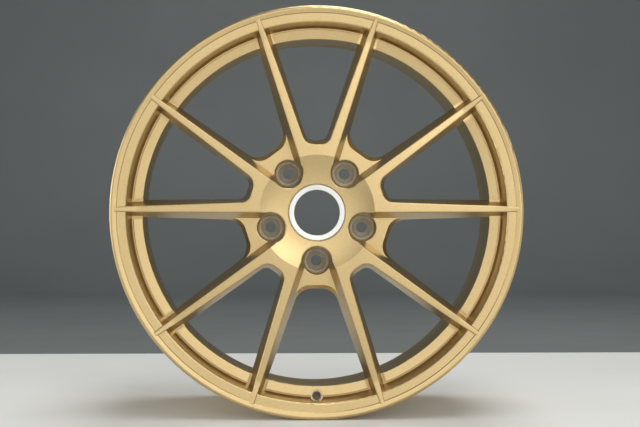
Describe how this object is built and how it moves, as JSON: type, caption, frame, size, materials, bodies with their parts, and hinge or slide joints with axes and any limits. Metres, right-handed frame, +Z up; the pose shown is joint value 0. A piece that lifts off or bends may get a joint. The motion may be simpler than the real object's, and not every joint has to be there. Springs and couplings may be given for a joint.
{
  "type": "racing wheel rim",
  "caption": "Forged racing wheel rim with paired slim spokes, a deep drop-centre barrel, pressed-in bolt seats and a bare machined centre ring, finished in satin gold.",
  "frame": {"origin": "on the wheel's axis, halfway across the overall width", "axes": "+Y along the axis from the front face to the rear, +Z up with the valve hole and one bolt straight below the axis, +X to the right seen from the front"},
  "size_m": [0.5474, 0.2414, 0.5474],
  "materials": {
    "gold_paint": "satin metallic gold lacquer over forged aluminium",
    "seat_metal": "dull grey-brown machined seat",
    "machined_metal": "bare satin turned aluminium"
  },
  "bodies": {
    "root": {"front_lip": "gold_paint", "drop_centre": "gold_paint", "rear_barrel": "gold_paint", "rear_flange": "gold_paint", "hub": "gold_paint", "spoke_01": "gold_paint", "spoke_02": "gold_paint", "spoke_03": "gold_paint", "spoke_04": "gold_paint", "spoke_05": "gold_paint", "spoke_06": "gold_paint", "spoke_07": "gold_paint", "spoke_08": "gold_paint", "spoke_09": "gold_paint", "spoke_10": "gold_paint", "bolt_seat_1": "seat_metal", "bolt_seat_2": "seat_metal", "bolt_seat_3": "seat_metal", "bolt_seat_4": "seat_metal", "bolt_seat_5": "seat_metal", "centre_ring": "machined_metal"}
  },
  "joints": []
}
